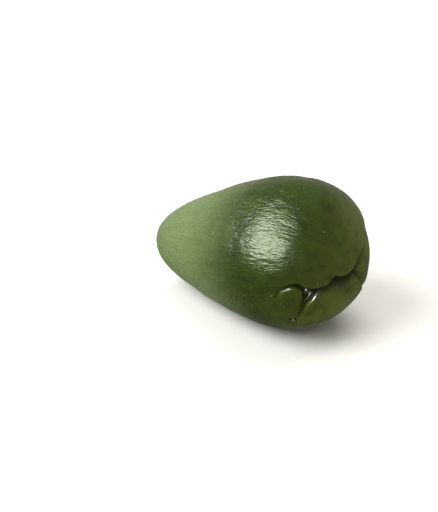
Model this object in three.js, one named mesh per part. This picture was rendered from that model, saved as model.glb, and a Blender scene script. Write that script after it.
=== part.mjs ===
// A whole chayote squash, as picked, lying on its side. Millimetres, +Z up.
// Its length runs along X: the stem end is at -X and the folded blossom end at +X.
// The origin is under the middle of the fruit, on the surface that it rests on.
import * as THREE from 'three';
import { mergeVertices } from 'three/addons/utils/BufferGeometryUtils.js';

// The pear-shaped body
const HALF_LENGTH = 62;
const GIRTH_RADIUS = 40.8;
const WIDEST_RING = 0.24; // how far the widest ring sits towards the blossom end, as a share of HALF_LENGTH
const TAPER = [0.185, -0.075, -0.053]; // radius change with the cosine from the blossom pole and its powers
const BLUNTNESS = { blossom: 0.94, stem: 0.66 }; // under 1 makes an end blunter than an ellipse's
const FLATNESS = 0.012; // wider across Y than Z, by this share each way
const STEM_BEND = { y: -6, z: 6 }; // where the stem end goes, as the fruit grew slightly bent
const RIBS = [
  { count: 5, height: 0.015, turn: 26 },
  { count: 3, height: -0.01, turn: 10 },
];
const STEM_CAP = { height: 5, radius: 15 }; // rounds off the stem end
const STEM_DIMPLE = { depth: 3.5, radius: 6 };

// How it lies
const BLOSSOM_LIFT = 15.5; // degrees
const REST_FLAT = 0.7; // how far the underside is flattened where it rests

// The folds of the blossom end, each drawn as seen end on: [across, up] in degrees round the body
// from its pole. A fold's depth, its half width towards the overhanging lobe (lip), its half width
// towards the lobe below (lap) and the swell of the overhanging lobe are in mm.
const FOLDS = [
  {
    path: [
      [-58, -19], [-51, -9], [-44, -8], [-36, -12], [-27, -15], [-19, -15], [-13, -10], [-5, -12],
      [4, -10], [19, -4], [31, 6], [41, 18], [48, 32], [52, 46],
    ],
    depth: 4.6,
    lip: 2.8,
    lap: 6.5,
    swell: 1.5,
  },
  { path: [[-36, -13], [-39, -21], [-39, -30], [-42, -46]], depth: 2.2, lip: 2.2, lap: 3.6, swell: 0.5 },
  { path: [[4, -10], [9, -17], [16, -26], [29, -42]], depth: 1.8, lip: 2.2, lap: 3.6, swell: 0.4 },
];
const SWELL_WIDTH = 7; // how far back from a fold the overhanging lobe is proudest
const FOLD_STEPS = 60;

// The faceting: an icosphere whose facets close in on the middle of the folds
const FACET_DETAIL = 16;
const CROWDING = { centre: [-10, -11], share: 0.5 };

// A unit direction from the body's middle, [across, up] degrees from the blossom pole.
function directionAt(across, up) {
  const fromPole = THREE.MathUtils.degToRad(Math.hypot(across, up));
  const round = Math.atan2(up, across);
  return new THREE.Vector3(
    Math.cos(fromPole),
    Math.sin(fromPole) * Math.cos(round),
    Math.sin(fromPole) * Math.sin(round),
  );
}

function hump(height, reach) {
  return height * Math.exp(-reach * reach);
}

// How far the cap and the dimple in it move the stem end along X.
function stemTip(radius) {
  const dimple = hump(STEM_DIMPLE.depth, radius / STEM_DIMPLE.radius);
  const cap = hump(STEM_CAP.height, radius / STEM_CAP.radius);
  return dimple - cap;
}

// The smooth body's surface in a unit direction.
function bodyPoint(direction) {
  const along = direction.x;
  const off = Math.sqrt(Math.max(0, 1 - along * along));
  const round = Math.atan2(direction.z, direction.y);
  const taper = 1 + TAPER[0] * along + TAPER[1] * along ** 2 + TAPER[2] * along ** 3;
  const blunt = BLUNTNESS.blossom + (BLUNTNESS.stem - BLUNTNESS.blossom) * Math.max(0, -along) ** 2;
  const ribbing = RIBS.reduce(
    (sum, rib) => sum + rib.height * Math.cos(rib.count * (round - THREE.MathUtils.degToRad(rib.turn))),
    0,
  );
  const ribFade = off * (0.35 + 0.65 * Math.min(1, (along + 1) / 1.3));
  const radius = GIRTH_RADIUS * off ** blunt * taper * (1 + ribFade * ribbing);
  const bend = Math.max(0, (0.3 - along) / 1.3) ** 2;
  return new THREE.Vector3(
    HALF_LENGTH * (along + WIDEST_RING * off * off) + (along < 0 ? stemTip(radius) : 0),
    radius * (1 + FLATNESS) * Math.cos(round) + STEM_BEND.y * bend,
    radius * (1 - FLATNESS) * Math.sin(round) + STEM_BEND.z * bend,
  );
}

// A fold's line on the body, as stations that know which way it runs.
function foldLine(fold) {
  const knots = fold.path.map(([across, up]) => new THREE.Vector3(across, up, 0));
  const drawn = new THREE.CatmullRomCurve3(knots);
  const points = drawn.getPoints(FOLD_STEPS).map((p) => bodyPoint(directionAt(p.x, p.y)));
  return points.map((point, i) => {
    const ahead = points[Math.min(i + 1, FOLD_STEPS)].clone().sub(points[Math.max(i - 1, 0)]);
    return { point, ahead: ahead.normalize(), share: i / FOLD_STEPS };
  });
}

// How far a fold moves a point of the body along its normal.
function foldOffset(fold, line, point, normal) {
  let nearest = line[0];
  let distance = Infinity;
  for (const station of line) {
    const reach = station.point.distanceTo(point);
    if (reach < distance) {
      distance = reach;
      nearest = station;
    }
  }
  const above = normal.clone().cross(nearest.ahead).dot(point.clone().sub(nearest.point)) > 0;
  const fade = Math.sin(Math.PI * Math.min(1, 0.08 + nearest.share * 0.92)) ** 0.6;
  const width = above ? fold.lip : fold.lap;
  const groove = -fold.depth * Math.exp(-((distance / width) ** 1.6));
  const back = distance / SWELL_WIDTH;
  const swell = above ? fold.swell * back * Math.exp(1 - back) : 0;
  return fade * (groove + swell);
}

// A closed unit sphere whose facets close in on CROWDING.centre.
function facetedSphere() {
  const sphere = new THREE.IcosahedronGeometry(1, FACET_DETAIL);
  sphere.deleteAttribute('normal');
  sphere.deleteAttribute('uv');
  const geometry = mergeVertices(sphere);
  const place = geometry.attributes.position;
  for (let i = 0; i < place.count; i++) {
    const fromCentre = Math.acos(THREE.MathUtils.clamp(place.getX(i), -1, 1));
    const round = Math.atan2(place.getZ(i), place.getY(i));
    const drawnIn = fromCentre - CROWDING.share * Math.sin(fromCentre);
    const ring = Math.sin(drawnIn);
    place.setXYZ(i, Math.cos(drawnIn), ring * Math.cos(round), ring * Math.sin(round));
  }
  const blossomPole = new THREE.Vector3(1, 0, 0);
  const turn = new THREE.Quaternion().setFromUnitVectors(blossomPole, directionAt(...CROWDING.centre));
  return geometry.applyQuaternion(turn);
}

function fruitGeometry() {
  const geometry = facetedSphere();
  const place = geometry.attributes.position;
  const vertex = new THREE.Vector3();
  for (let i = 0; i < place.count; i++) {
    place.setXYZ(i, ...bodyPoint(vertex.fromBufferAttribute(place, i).normalize()));
  }
  geometry.computeVertexNormals();

  const lines = FOLDS.map(foldLine);
  const normal = new THREE.Vector3();
  for (let i = 0; i < place.count; i++) {
    vertex.fromBufferAttribute(place, i);
    normal.fromBufferAttribute(geometry.attributes.normal, i);
    const offsets = FOLDS.map((fold, k) => foldOffset(fold, lines[k], vertex, normal));
    const deepest = Math.min(0, ...offsets);
    const proudest = Math.max(0, ...offsets);
    vertex.addScaledVector(normal, deepest + proudest);
    place.setXYZ(i, ...vertex);
  }
  geometry.deleteAttribute('normal');

  // Lay it down, flatten the underside and put the origin under its middle.
  geometry.rotateY(-THREE.MathUtils.degToRad(BLOSSOM_LIFT));
  geometry.computeBoundingBox();
  const middle = geometry.boundingBox.getCenter(new THREE.Vector3());
  geometry.translate(-middle.x, -middle.y, -geometry.boundingBox.min.z - REST_FLAT);
  for (let i = 0; i < place.count; i++) place.setZ(i, Math.max(0, place.getZ(i)));
  return geometry;
}

const skin = new THREE.MeshStandardMaterial({ color: 0x39491f, roughness: 0.35, metalness: 0 });
const fruit = new THREE.Mesh(fruitGeometry(), skin);
fruit.name = 'chayote_fruit';

const chayote = new THREE.Group();
chayote.add(fruit);
export default chayote;
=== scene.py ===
import math

import bmesh
import bpy
import numpy as np
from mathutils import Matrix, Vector, kdtree, noise


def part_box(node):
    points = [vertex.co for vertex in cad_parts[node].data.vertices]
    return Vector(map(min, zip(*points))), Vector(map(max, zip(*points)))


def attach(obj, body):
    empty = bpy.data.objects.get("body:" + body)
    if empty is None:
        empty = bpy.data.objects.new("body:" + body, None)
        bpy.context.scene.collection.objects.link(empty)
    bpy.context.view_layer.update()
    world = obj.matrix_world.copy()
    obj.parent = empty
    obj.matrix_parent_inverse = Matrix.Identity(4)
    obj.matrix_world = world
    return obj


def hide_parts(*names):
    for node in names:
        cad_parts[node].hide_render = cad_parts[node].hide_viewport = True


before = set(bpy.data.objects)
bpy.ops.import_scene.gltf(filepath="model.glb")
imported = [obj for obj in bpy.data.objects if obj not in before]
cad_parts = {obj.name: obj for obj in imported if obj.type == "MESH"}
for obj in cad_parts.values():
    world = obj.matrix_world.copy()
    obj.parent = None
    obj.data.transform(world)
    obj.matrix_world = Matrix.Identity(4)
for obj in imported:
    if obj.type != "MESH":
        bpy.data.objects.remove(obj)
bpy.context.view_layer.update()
fruitLow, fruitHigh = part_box("chayote_fruit")
underFruit = Vector(((fruitLow.x + fruitHigh.x) / 2, (fruitLow.y + fruitHigh.y) / 2, fruitLow.z))
print("frame loaded, the fruit measures", [round(side, 4) for side in fruitHigh - fruitLow])

mm = 0.001

# The smooth pear shape, in mm, with its length along x and the blossom end at +x.
# A way is a unit vector from its middle. A spot is (across, up), in degrees round the body from
# the blossom pole as seen end on.
body = {
    "halfLength": 62,
    "girth": 40.8,
    "widestRing": 0.24,
    "taper": (0.185, -0.075, -0.053),
    "bluntness": (0.94, 0.66),  # at the blossom end, at the stem end
    "flatness": 0.012,
    "stemBend": (-6, 6),  # sideways and up, at the stem end
    "bendFrom": 0.3,  # where it starts, as a share of the half length
    "ribs": [(5, 0.015, 26), (3, -0.01, 10)],  # how many, how high, turned by
    "stemCap": (5, 15),  # height, radius
    "stemDimple": (3.5, 6),  # depth, radius
    "blossomLift": 15.5,  # in degrees, as it lies
    "restFlat": 0.7,
    "restSoftness": 0.12,
}


def wayTo(across, up):
    fromPole = np.radians(np.hypot(across, up))
    turn = np.arctan2(up, across)
    off = np.sin(fromPole)
    return np.stack([np.cos(fromPole), off * np.cos(turn), off * np.sin(turn)], axis=-1)


def bodyPoints(ways):
    along = ways[:, 0]
    off = np.sqrt(np.maximum(0, 1 - along * along))
    turn = np.arctan2(ways[:, 2], ways[:, 1])
    taper = 1 + sum(share * along ** (power + 1) for power, share in enumerate(body["taper"]))
    blossomBlunt, stemBlunt = body["bluntness"]
    blunt = blossomBlunt + (stemBlunt - blossomBlunt) * np.maximum(0, -along) ** 2
    ribbing = sum(
        height * np.cos(count * (turn - math.radians(turned))) for count, height, turned in body["ribs"]
    )
    ribFade = off * (0.35 + 0.65 * np.minimum(1, (along + 1) / 1.3))  # lower towards the stem
    radius = body["girth"] * off ** blunt * taper * (1 + ribFade * ribbing)
    bend = (np.maximum(0, body["bendFrom"] - along) / (body["bendFrom"] + 1)) ** 2
    dimpleDepth, dimpleRadius = body["stemDimple"]
    capHeight, capRadius = body["stemCap"]
    dimple = dimpleDepth * np.exp(-((radius / dimpleRadius) ** 2))
    cap = capHeight * np.exp(-((radius / capRadius) ** 2))
    tip = dimple - cap
    return np.stack([
        body["halfLength"] * (along + body["widestRing"] * off * off) + np.where(along < 0, tip, 0),
        radius * (1 + body["flatness"]) * np.cos(turn) + body["stemBend"][0] * bend,
        radius * (1 - body["flatness"]) * np.sin(turn) + body["stemBend"][1] * bend,
    ], axis=1)


def spotOn(across, up):
    return bodyPoints(wayTo(np.array([across]), np.array([up])))[0]


# A fold's stations are (across, up, depth, lap): lap is how far the lower lobe takes to come back up.
# The lobe that laps over is on the left of the way the stations run, as seen end on. All widths are in mm.
folds = {
    "mouth": {
        "stations": [
            (-58.5, -18, 0, 1.3), (-56.5, -12.5, 1.4, 1.3), (-53, -9, 2.2, 1.4), (-48.5, -7, 2.8, 1.6),
            (-43, -7, 3.6, 2.2), (-38, -9.5, 5, 3.4), (-33, -11.5, 5.8, 4.5), (-27, -12.5, 5.4, 5),
            (-21, -12.5, 5.2, 5.5), (-16.5, -9.5, 5.6, 6.5), (-12.5, -7.5, 6.2, 7.5), (-8, -9, 6.6, 8),
            (-2, -9.5, 6.6, 8), (4, -7.5, 6.2, 7.5), (11, -4, 5.6, 7), (19, 0.5, 5.2, 6.5), (28, 7, 4.8, 6),
            (37, 15, 4.2, 5.5), (44, 25, 3.2, 5), (49, 37, 2, 5), (51, 49, 0.8, 5), (51, 59, 0, 5),
        ],
        "lip": 1.7, "overhang": 4.6, "overhangReach": 9, "swell": 1.1, "swellReach": 7,
    },
    "lowerSplit": {
        "stations": [
            (-24, -11, 4.6, 3), (-28, -16, 4.6, 3), (-32.5, -20.5, 4, 3), (-36.5, -24.5, 3.2, 2.6),
            (-38.6, -28.5, 2.7, 2.4), (-39.4, -33, 2.1, 2.2), (-41, -38.5, 1.5, 1.8), (-42.4, -43, 1.1, 1.6),
            (-42.8, -47, 0, 1.6),
        ],
        "lip": 1.1, "overhang": 1, "overhangReach": 3, "swell": 1.2, "swellReach": 1.7,
    },
    "pitWall": {
        "stations": [(-38.8, -28, 0, 2.4), (-38.3, -23, 2.4, 2.6), (-37.6, -17, 4, 3), (-37, -11, 4.6, 3)],
        "lip": 2, "overhang": 0.4, "overhangReach": 3, "swell": 0.3, "swellReach": 4,
    },
    "farSplit": {
        "stations": [
            (36, -44, 0, 2), (29, -37, 0.7, 2), (20, -29, 1.6, 2.2), (13.8, -22.5, 2.3, 2.4),
            (9.2, -16.5, 2.8, 2.6), (6, -11, 4, 3), (4, -7, 4, 3),
        ],
        "lip": 1, "overhang": 1, "overhangReach": 4, "swell": 0.7, "swellReach": 2.2,
    },
}
creases = [  # shallow furrows with nothing lapping over: stations (across, up, depth), then half width
    ([(-5, -12, 0.2), (0, -21, 0.4), (4, -30, 0.3), (9, -40, 0)], 1.1),
    ([(-1, -12, 0.2), (5, -20, 0.35), (11, -29, 0.25), (18, -38, 0)], 1),
    ([(-8, -13, 0.2), (-5, -22, 0.35), (-3, -31, 0)], 1.2),
    ([(-12, -14, 0.2), (-12, -22, 0.25), (-13, -30, 0)], 1.2),
    ([(-90, 45, 0), (-86, 51, 0.5), (-81, 57.5, 0.8), (-77, 61.5, 0.5), (-74, 65, 0)], 2),
    ([(-82, 73, 0), (-76, 79, 0.4), (-70, 84, 0.4), (-64, 89, 0)], 2.4),
]
pits = [(-42.9, -45.3, 3.8, 1.5), (-57.8, -16.5, 0.5, 1.2)]  # across, up, depth, radius
foldShape = {
    "blurNear": 0.9,  # a lobe's direction is averaged over this much of the line, in mm
    "blurGrowth": 0.4,  # and over this much more for each mm away from it
    "lipTurn": 2.2,  # how squarely a groove turns over on the lip's side
    "lapTurn": 1.9,  # and on the side that it laps over
    "overhangStart": 1.3,
    "overhangTurn": 1.5,
    "underMouth": 2,  # the lower folds fade in over this much below the mouth
    "smoothAround": 13,  # wrinkles die away this near to the mouth
    "joining": 2.5,  # how sharply grooves that meet keep their own depths
    "fullDepth": 5,  # the depth at which the skin counts as deep in a fold
    "smoothedFrom": 0.03,
    "smoothings": 3,
}


def smoothLine(stations, spacing=0.3):
    # a Catmull-Rom line through the stations, then points on the body at an even spacing
    knots = np.array([stations[0], *stations, stations[-1]], float)
    t = np.linspace(0, 1, 40, endpoint=False)[:, None]
    pieces = []
    for a, b, c, d in zip(knots, knots[1:], knots[2:], knots[3:]):
        slope = (c - a) * t
        bow = (2 * a - 5 * b + 4 * c - d) * t ** 2
        twist = (3 * b - a - 3 * c + d) * t ** 3
        pieces.append(0.5 * (2 * b + slope + bow + twist))
    drawn = np.concatenate([*pieces, knots[-1:]])
    points = bodyPoints(wayTo(drawn[:, 0], drawn[:, 1]))
    run = np.concatenate([[0], np.cumsum(np.linalg.norm(np.diff(points, axis=0), axis=1))])
    even = np.arange(0, run[-1], spacing)
    columns = np.hstack([points, drawn[:, 2:]]).T
    values = np.stack([np.interp(even, run, column) for column in columns], axis=1)
    ahead = np.gradient(values[:, :3], axis=0)
    ahead /= np.linalg.norm(ahead, axis=1)[:, None]
    return {"points": values[:, :3], "ahead": ahead, "values": np.maximum(values[:, 3:], 0)}


def unit(vectors):
    return vectors / np.maximum(np.linalg.norm(vectors, axis=1), 1e-9)[:, None]


def treeOf(points):
    tree = kdtree.KDTree(len(points))
    for index, point in enumerate(points):
        tree.insert(point, index)
    tree.balance()
    return tree


def nearestOn(line, points, normals):
    # signed distance to a line, the station values there, and the way across it towards its left
    tree = treeOf(line["points"])
    index = np.array([tree.find(point)[1] for point in points])
    ahead = line["ahead"][index]
    reach = points - line["points"][index]
    slip = np.sum(reach * ahead, axis=1)
    side = np.sum(reach * np.cross(normals, ahead), axis=1)
    slip = np.where((index == 0) | (index == len(line["points"]) - 1), 0, slip)
    distance = np.sqrt(np.maximum(np.sum(reach * reach, axis=1) - slip * slip, 0))

    # the rest is averaged over a stretch of the line that widens away from it, so lobes bend smoothly
    some = line["points"][::3]
    gaps = np.sum(points ** 2, axis=1)[:, None] + np.sum(some ** 2, axis=1) - 2 * points @ some.T
    stretch = foldShape["blurNear"] + foldShape["blurGrowth"] * distance
    share = np.exp((gaps.min(axis=1)[:, None] - gaps) / (2 * stretch ** 2)[:, None])
    share /= share.sum(axis=1)[:, None]
    left = np.cross(normals, share @ line["ahead"][::3])
    return np.where(side > 0, distance, -distance), share @ line["values"][::3], left


def easedIn(x):
    x = np.clip(x, 0, 1)
    return x * x * (3 - 2 * x)


lines = {name: smoothLine(fold["stations"]) for name, fold in folds.items()}
creaseLines = [(smoothLine(stations), width) for stations, width in creases]


def foldMoves(points, normals):
    # how far the folds move each point of the smooth body, and how deep in a fold it ends up
    lift = np.zeros(len(points))
    slide = np.zeros((len(points), 3))
    grooves = []
    belowMouth = np.ones(len(points))
    nearMouth = np.zeros(len(points))
    for name, fold in folds.items():
        distance, values, left = nearestOn(lines[name], points, normals)
        depth, lap = values[:, 0], values[:, 1]
        strength = depth / max(station[2] for station in fold["stations"])
        onLip = np.maximum(distance, 0)
        onLap = np.maximum(-distance, 0)
        wall = (onLip / fold["lip"]) ** foldShape["lipTurn"]
        groove = depth * np.exp(-wall - (onLap / lap) ** foldShape["lapTurn"])
        grooves.append(groove * belowMouth)
        back = onLip / fold["swellReach"]
        lift += belowMouth * strength * fold["swell"] * back * np.exp(1 - back)
        started = 1 - np.exp(-((onLip / foldShape["overhangStart"]) ** 2))
        over = started * np.exp(-((onLip / fold["overhangReach"]) ** foldShape["overhangTurn"]))
        slide -= left * (belowMouth * strength * fold["overhang"] * over)[:, None]
        if name == "mouth":
            nearMouth = easedIn(strength * 2) * np.exp(-((distance / foldShape["smoothAround"]) ** 2))
            belowMouth = easedIn(-distance / foldShape["underMouth"])
    for line, width in creaseLines:
        distance, values, left = nearestOn(line, points, normals)
        grooves.append(values[:, 0] * np.exp(-((distance / width) ** 2)))
    for across, up, depth, radius in pits:
        fromPit = points - spotOn(across, up)
        grooves.append(depth * np.exp(-np.sum(fromPit ** 2, axis=1) / radius ** 2))
    joining = foldShape["joining"]
    together = np.sum(np.stack(grooves) ** joining, axis=0) ** (1 / joining)
    return lift - together, slide, together, nearMouth


# The skin between the folds: soft lumps and the lengthwise wrinkles that show where light glances off it.
relief = {
    "lump": (0.35, 13),  # height and size, in mm
    "dent": (0.12, 5.5),
    "wrinkle": (0.14, 2.9, 14),  # height, spacing round the body, length
    "sway": (0.6, 9),  # how far the wrinkles wander, and over how many mm
    "drum": (62, 40),  # half length and radius of the drum that the wrinkles are laid out on
    "lostByMouth": 0.8,
    "stemFade": 0.1,  # the wrinkles rise over this share of the half length
    "blossomFade": (1.2, 0.7),  # where they would be gone, and over how much they go
    "underFade": (-0.62, 0.6),  # where they start underneath, and over how much they rise
}


def grainOf(ways):
    # coordinates that run round the body and along it, with no seam
    turn = np.arctan2(ways[:, 2], ways[:, 1])
    halfLength, radius = relief["drum"]
    return np.stack([halfLength * ways[:, 0], radius * np.cos(turn), radius * np.sin(turn)], axis=1)


def roll(place):
    return noise.noise(Vector(place), noise_basis="PERLIN_NEW")


def wrinkledness(ways, nearMouth):
    # from 0 where the skin is smooth to 1: less by the mouth, at both ends and underneath
    along, up = ways[:, 0], ways[:, 2]
    gone, blossomRun = relief["blossomFade"]
    start, underRun = relief["underFade"]
    atStem = easedIn((along + 1) / relief["stemFade"])
    atBlossom = easedIn((gone - along) / blossomRun)
    above = easedIn((up - start) / underRun)
    return (1 - relief["lostByMouth"] * nearMouth) * atStem * atBlossom * above


def reliefAt(points, grain, wrinkled):
    lumpHeight, lumpSize = relief["lump"]
    dentHeight, dentSize = relief["dent"]
    wrinkleHeight, wrinklePitch, wrinkleLength = relief["wrinkle"]
    swayAmount, swaySize = relief["sway"]
    stretch = np.array([1 / wrinkleLength, 1 / wrinklePitch, 1 / wrinklePitch])
    heights = []
    for point, way in zip(points, grain * stretch):
        sway = roll(point / swaySize + 5)
        lumps = lumpHeight * roll(point / lumpSize) + dentHeight * roll(point / dentSize)
        heights.append((lumps, wrinkleHeight * roll(way + swayAmount * sway)))
    heights = np.array(heights)
    return heights[:, 0] + heights[:, 1] * wrinkled


skinPatches = {  # each patch is (across, up, radius)
    "pale": [(-8, -33, 27), (24, 6, 23)],  # the lower lobes, and the far side of the lip
    "wet": [(-30.5, -17, 4.2), (-42.9, -45.3, 2.4)],  # sap in the lower split, and in the pit at its end
    "scarRadius": 5,
}


def within(points, spots):
    outside = np.ones(len(points))
    for across, up, radius in spots:
        fromSpot = points - spotOn(across, up)
        outside *= 1 - np.exp(-np.sum(fromSpot ** 2, axis=1) / radius ** 2)
    return 1 - outside


def coordinates(bm):
    return np.array([vert.co for vert in bm.verts])


def moveTo(bm, points):
    for vert, point in zip(bm.verts, points):
        vert.co = point
    bm.normal_update()


def splitNear(bm, near):
    chosen = set(np.flatnonzero(near))
    edges = [edge for edge in bm.edges if edge.verts[0].index in chosen and edge.verts[1].index in chosen]
    bmesh.ops.subdivide_edges(bm, edges=edges, cuts=1)
    bm.verts.index_update()
    moveTo(bm, unit(coordinates(bm)))


def distanceToFolds(ways, names):
    tree = treeOf(np.concatenate([lines[name]["points"] for name in names]))
    return np.array([tree.find(point)[2] for point in bodyPoints(ways)])


mesh = {
    "roundness": 7,  # icosphere subdivisions
    "crowding": 0.3,  # how much closer the faces stand round the folds
    "crowdedAt": (-12, -12),
    "fineWithin": 5.5,
    "finestWithin": 2.4,
}


def roundBlank():
    bm = bmesh.new()
    bmesh.ops.create_icosphere(bm, subdivisions=mesh["roundness"], radius=1)
    ways = unit(coordinates(bm))
    middle = wayTo(*np.array(mesh["crowdedAt"], float))
    # draw every way in towards the middle of the folds
    angle = np.arccos(np.clip(ways @ middle, -1, 1))
    sideways = unit(ways - np.outer(ways @ middle, middle))
    drawn = angle - mesh["crowding"] * np.sin(angle)
    moveTo(bm, np.outer(np.cos(drawn), middle) + sideways * np.sin(drawn)[:, None])
    splitNear(bm, distanceToFolds(coordinates(bm), folds) < mesh["fineWithin"])
    splitNear(bm, distanceToFolds(coordinates(bm), ["mouth", "lowerSplit"]) < mesh["finestWithin"])
    bmesh.ops.triangulate(bm, faces=bm.faces)
    return bm


def layDown(points):
    lift = math.radians(body["blossomLift"])
    x, y, z = points.T
    ahead = x * math.cos(lift) - z * math.sin(lift)
    above = x * math.sin(lift) + z * math.cos(lift)
    return np.stack([ahead, y, above], axis=1)


def flattenUnder(points):
    softness = body["restSoftness"]
    z = points[:, 2]
    points[:, 2] = (z + np.sqrt(z * z + softness ** 2)) / 2
    return points


def makeFruit():
    bm = roundBlank()
    ways = unit(coordinates(bm))
    print("blank has", len(bm.verts), "points and", len(bm.faces), "faces")

    smooth = bodyPoints(ways)
    moveTo(bm, smooth)
    normals = np.array([vert.normal for vert in bm.verts])
    lift, slide, inFold, nearMouth = foldMoves(smooth, normals)
    grain = grainOf(ways)
    wrinkled = wrinkledness(ways, nearMouth)
    lift = lift + reliefAt(smooth, grain, wrinkled)
    moveTo(bm, smooth + slide + normals * lift[:, None])

    creased = [vert for vert, deep in zip(bm.verts, inFold) if deep > foldShape["smoothedFrom"]]
    for turn in range(foldShape["smoothings"]):
        bmesh.ops.smooth_vert(
            bm, verts=creased, factor=0.5, use_axis_x=True, use_axis_y=True, use_axis_z=True
        )

    points = layDown(coordinates(bm))
    low, high = points.min(axis=0), points.max(axis=0)
    points[:, :2] -= (low + high)[:2] / 2
    points[:, 2] -= low[2] + body["restFlat"]
    moveTo(bm, flattenUnder(points) * mm + np.array(underFruit))

    for face in bm.faces:
        face.smooth = True
    data = bpy.data.meshes.new("chayote")
    bm.to_mesh(data)
    bm.free()
    writeAttribute(data, "grain", "FLOAT_VECTOR", grain)
    writeAttribute(data, "inFold", "FLOAT", np.clip(inFold / foldShape["fullDepth"], 0, 1))
    writeAttribute(data, "pale", "FLOAT", within(smooth, skinPatches["pale"]))
    writeAttribute(data, "wet", "FLOAT", within(smooth, skinPatches["wet"]))
    writeAttribute(data, "wrinkled", "FLOAT", wrinkled)
    bendY, bendZ = body["stemBend"]
    fromStem = np.hypot(smooth[:, 1] - bendY, smooth[:, 2] - bendZ)
    scar = easedIn(1.6 - fromStem / skinPatches["scarRadius"])
    writeAttribute(data, "scar", "FLOAT", np.where(ways[:, 0] < 0, scar, 0))
    fruit = bpy.data.objects.new("chayote", data)
    bpy.context.scene.collection.objects.link(fruit)
    return fruit


def writeAttribute(data, name, kind, values):
    attribute = data.attributes.new(name, kind, "POINT")
    field = "vector" if kind == "FLOAT_VECTOR" else "value"
    attribute.data.foreach_set(field, values.astype(np.float32).ravel())


class Wire:
    # a socket of a shader tree, which can stand in sums
    def __init__(self, tree, socket=None):
        self.tree = tree
        self.socket = socket

    def node(self, kind, settings=None, sockets=None, output=0):
        made = self.tree.nodes.new(kind)
        for name, value in (settings or {}).items():
            setattr(made, name, value)
        for name, value in (sockets or {}).items():
            if isinstance(value, Wire):
                self.tree.links.new(value.socket, made.inputs[name])
            else:
                made.inputs[name].default_value = value
        return None if output is None else Wire(self.tree, made.outputs[output])

    def math(self, operation, *values):
        return self.node("ShaderNodeMath", {"operation": operation}, dict(enumerate(values)))

    def __add__(self, other):
        return self.math("ADD", self, other)

    def __radd__(self, other):
        return self.math("ADD", other, self)

    def __sub__(self, other):
        return self.math("SUBTRACT", self, other)

    def __rsub__(self, other):
        return self.math("SUBTRACT", other, self)

    def __mul__(self, other):
        return self.math("MULTIPLY", self, other)

    def __rmul__(self, other):
        return self.math("MULTIPLY", other, self)

    def between(self, low, high):
        return self.node("ShaderNodeMapRange", {"interpolation_type": "SMOOTHSTEP"},
                         {"Value": self, "From Min": low, "From Max": high})

    def blend(self, first, second):
        shades = {6: first, 7: second}  # a Mix node's colours are sockets 6 and 7, and come out at 2
        opaque = {slot: shade if isinstance(shade, Wire) else (*shade, 1) for slot, shade in shades.items()}
        return self.node("ShaderNodeMix", {"data_type": "RGBA"}, {0: self, **opaque}, 2)


skinLooks = {
    "deep": (0.0125, 0.023, 0.002),
    "green": (0.022, 0.038, 0.003),
    "olive": (0.072, 0.086, 0.012),
    "neck": (0.128, 0.176, 0.066),
    # painted shade for the deep folds, not a colour the skin has
    "paintedCreaseShade": (0.010, 0.013, 0.002),
    "lenticel": (0.080, 0.105, 0.045),
    "cork": (0.215, 0.185, 0.120),
    "corkDark": (0.095, 0.080, 0.045),
    "roughness": 0.27,
    "roughnessRange": 0.12,
    "foldRoughness": 0.35,  # added deep in a fold
    "corkRoughness": 0.4,  # added on the cork
    "gloss": 0.15,
    "glossTint": (0.88, 1, 0.8, 1),
    "sapRoughness": 0.12,
    "sapEdge": (0.25, 0.7),
    "neckFade": (16, -38),  # where along the body the pale neck starts, and where it is full, in mm
    "speckSpacing": 8,
    "speckEdge": (0.085, 0.05),  # its rim and where it is full, in shares of the spacing
    "corkGrain": 1.2,
    "bumpDepth": 0.6,
}


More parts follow.
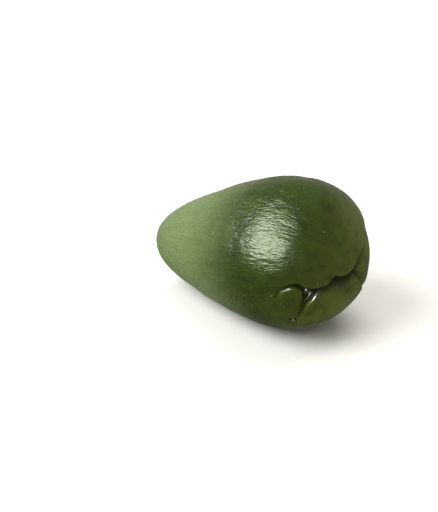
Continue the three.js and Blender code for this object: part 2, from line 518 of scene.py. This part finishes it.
def skinMaterial(looks):
    material = bpy.data.materials.new("chayoteSkin")
    material.use_nodes = True
    tree = material.node_tree
    tree.nodes.clear()
    start = Wire(tree)
    place = start.node("ShaderNodeTexCoord", output="Object")
    grain = start.node("ShaderNodeAttribute", {"attribute_name": "grain"}, output="Vector")
    inFold = start.node("ShaderNodeAttribute", {"attribute_name": "inFold"}, output="Fac")
    pale = start.node("ShaderNodeAttribute", {"attribute_name": "pale"}, output="Fac")
    wrinkled = start.node("ShaderNodeAttribute", {"attribute_name": "wrinkled"}, output="Fac")
    scar = start.node("ShaderNodeAttribute", {"attribute_name": "scar"}, output="Fac")
    wet = start.node("ShaderNodeAttribute", {"attribute_name": "wet"}, output="Fac")
    along = start.node("ShaderNodeSeparateXYZ", sockets={"Vector": grain}, output="X")

    def patches(size, detail, seed):
        return start.node("ShaderNodeTexNoise", {"noise_dimensions": "4D"},
                          {"Vector": place, "W": seed, "Scale": 1 / (size * mm), "Detail": detail})

    def streaks(pitch, length, detail, seed):
        # pitch is round the body and length is along it
        stretched = start.node("ShaderNodeMapping", sockets={
            "Vector": grain, "Scale": (1 / length, 1 / pitch, 1 / pitch)})
        return start.node("ShaderNodeTexNoise", {"noise_dimensions": "4D"},
                          {"Vector": stretched, "W": seed, "Scale": 1, "Detail": detail})

    mottle = (patches(11, 4, 1) * 0.6 + streaks(5, 30, 3, 2) * 0.4).between(0.35, 0.65)
    shade = mottle.blend(looks["deep"], looks["green"])
    towardsNeck = (along + 10 * patches(16, 3, 3)).between(*looks["neckFade"])
    shade = (towardsNeck * (0.6 + 0.4 * streaks(3, 24, 3, 4))).blend(shade, looks["neck"])
    shade = (pale * patches(7, 3, 5).between(0.1, 0.6)).blend(shade, looks["olive"])
    shade = (0.3 * pale * streaks(2.2, 40, 2, 13).between(0.55, 0.7)).blend(shade, looks["lenticel"])
    # painted shade: the skin colour is darkened deep in the folds, where the lobes shade it
    shade = inFold.between(0.2, 0.75).blend(shade, looks["paintedCreaseShade"])
    fromSpeck = start.node("ShaderNodeTexVoronoi", sockets={
        "Vector": place, "Scale": 1 / (looks["speckSpacing"] * mm)}, output="Distance")
    speck = fromSpeck.between(*looks["speckEdge"])
    shade = (0.7 * speck).blend(shade, looks["lenticel"])
    cork = (scar + 0.5 * patches(2, 3, 10) - 0.25).between(0.4, 0.6)
    corkGrain = patches(looks["corkGrain"], 3, 11)
    shade = cork.blend(shade, corkGrain.between(0.3, 0.7).blend(looks["cork"], looks["corkDark"]))

    furrow = start.math("ABSOLUTE", streaks(2.4, 11, 2, 12) - 0.5)
    wrinkle = 0.7 * streaks(1.7, 8, 3, 6) + 0.9 * furrow + 0.5 * streaks(0.8, 2.6, 2, 9)
    height = wrinkle * wrinkled + 0.5 * speck + 0.6 * cork * corkGrain
    bumped = start.node("ShaderNodeBump", sockets={
        "Strength": 1, "Distance": looks["bumpDepth"] * mm, "Height": height}, output="Normal")
    # fine changes of roughness sparkle where the skin is seen edge on, so they go with the wrinkles
    roughness = looks["roughness"] + looks["roughnessRange"] * wrinkled * (patches(2.5, 2, 8) - 0.5)
    roughness = roughness + looks["foldRoughness"] * inFold.between(0.5, 1) + looks["corkRoughness"] * cork
    skin = start.node("ShaderNodeBsdfPrincipled", sockets={
        "Base Color": shade, "Roughness": roughness, "Normal": bumped,
        "IOR": 1.5, "Specular IOR Level": looks["gloss"], "Specular Tint": looks["glossTint"],
        "Coat Weight": wet.between(*looks["sapEdge"]), "Coat Roughness": looks["sapRoughness"]})
    start.node("ShaderNodeOutputMaterial", sockets={"Surface": skin}, output=None)
    return material


fruit = makeFruit()
fruit.data.materials.append(skinMaterial(skinLooks))
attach(fruit, "root")
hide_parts("chayote_fruit")
print("fruit made:", len(fruit.data.polygons), "faces")

studio = {
    "aim": (-0.0137, -0.0152, 0.0313),  # from the middle of the fruit's underside
    "azimuth": 42,
    "elevation": 27,
    "distance": 0.78,
    "lens": 100,
    "floor": (0.62, 0.615, 0.60),
    "floorRadius": 6,
    "floorRoughness": 0.9,
    "surround": 0.62,
    "surroundBelow": 0.3,  # the share of it that is left under the horizon
    "horizonFade": (-0.4, 0.1),
    "fill": (1, 0.974, 0.865),
}
softboxes = [  # name, azimuth, elevation, distance, width, height, power in watts: the gloss doesn't see them
    ("keySoftbox", -30, 42, 0.95, 0.9, 0.9, 14),
    ("backSoftbox", 200, 60, 1.2, 1.2, 1.2, 14),
]
cards = [  # the same, for panels that only the gloss sees
    ("highlightCard", -11, 43, 1.0, 1.6, 0.72, 140),
]


def awayFrom(azimuth, elevation):
    a, e = math.radians(azimuth), math.radians(elevation)
    return Vector((math.sin(a) * math.cos(e), -math.cos(a) * math.cos(e), math.sin(e)))


def facing(place, target):
    # the turn of something at place whose -z looks at target, with y upwards
    return (target - place).to_track_quat("-Z", "Y")


def makeStudio():
    aim = underFruit + Vector(studio["aim"])
    lens = bpy.data.cameras.new("camera")
    lens.lens = studio["lens"]
    camera = bpy.data.objects.new("camera", lens)
    camera.location = aim + awayFrom(studio["azimuth"], studio["elevation"]) * studio["distance"]
    camera.rotation_mode = "QUATERNION"
    camera.rotation_quaternion = facing(camera.location, aim)
    bpy.context.scene.collection.objects.link(camera)
    bpy.context.scene.camera = camera

    for name, azimuth, elevation, distance, width, height, power in softboxes + cards:
        lamp = bpy.data.lights.new(name, "AREA")
        lamp.shape = "ELLIPSE"
        lamp.size = width
        lamp.size_y = height
        lamp.energy = power
        light = bpy.data.objects.new(name, lamp)
        isCard = name.endswith("Card")
        light.visible_diffuse = not isCard
        light.visible_glossy = isCard
        light.location = aim + awayFrom(azimuth, elevation) * distance
        light.rotation_mode = "QUATERNION"
        light.rotation_quaternion = facing(light.location, aim)
        bpy.context.scene.collection.objects.link(light)

    bm = bmesh.new()
    bmesh.ops.create_circle(bm, cap_ends=True, segments=96, radius=studio["floorRadius"])
    data = bpy.data.meshes.new("floor")
    bm.to_mesh(data)
    bm.free()
    floor = bpy.data.objects.new("floor", data)
    floor.visible_glossy = False
    bpy.context.scene.collection.objects.link(floor)
    floorPaint = bpy.data.materials.new("floorPaint")
    floorPaint.use_nodes = True
    paint = floorPaint.node_tree.nodes["Principled BSDF"]
    paint.inputs["Base Color"].default_value = (*studio["floor"], 1)
    paint.inputs["Roughness"].default_value = studio["floorRoughness"]
    data.materials.append(floorPaint)

    world = bpy.data.worlds.new("surround")
    bpy.context.scene.world = world
    world.use_nodes = True
    tree = world.node_tree
    tree.nodes.clear()
    start = Wire(tree)
    way = start.node("ShaderNodeTexCoord", output="Generated")
    height = start.node("ShaderNodeSeparateXYZ", sockets={"Vector": way}, output="Z")
    below = studio["surroundBelow"]
    strength = studio["surround"] * (below + (1 - below) * height.between(*studio["horizonFade"]))
    background = start.node("ShaderNodeBackground", sockets={
        "Color": (*studio["fill"], 1), "Strength": strength})
    start.node("ShaderNodeOutputWorld", sockets={"Surface": background}, output=None)
    bpy.context.scene.view_settings.view_transform = "Standard"


makeStudio()
print("studio made")
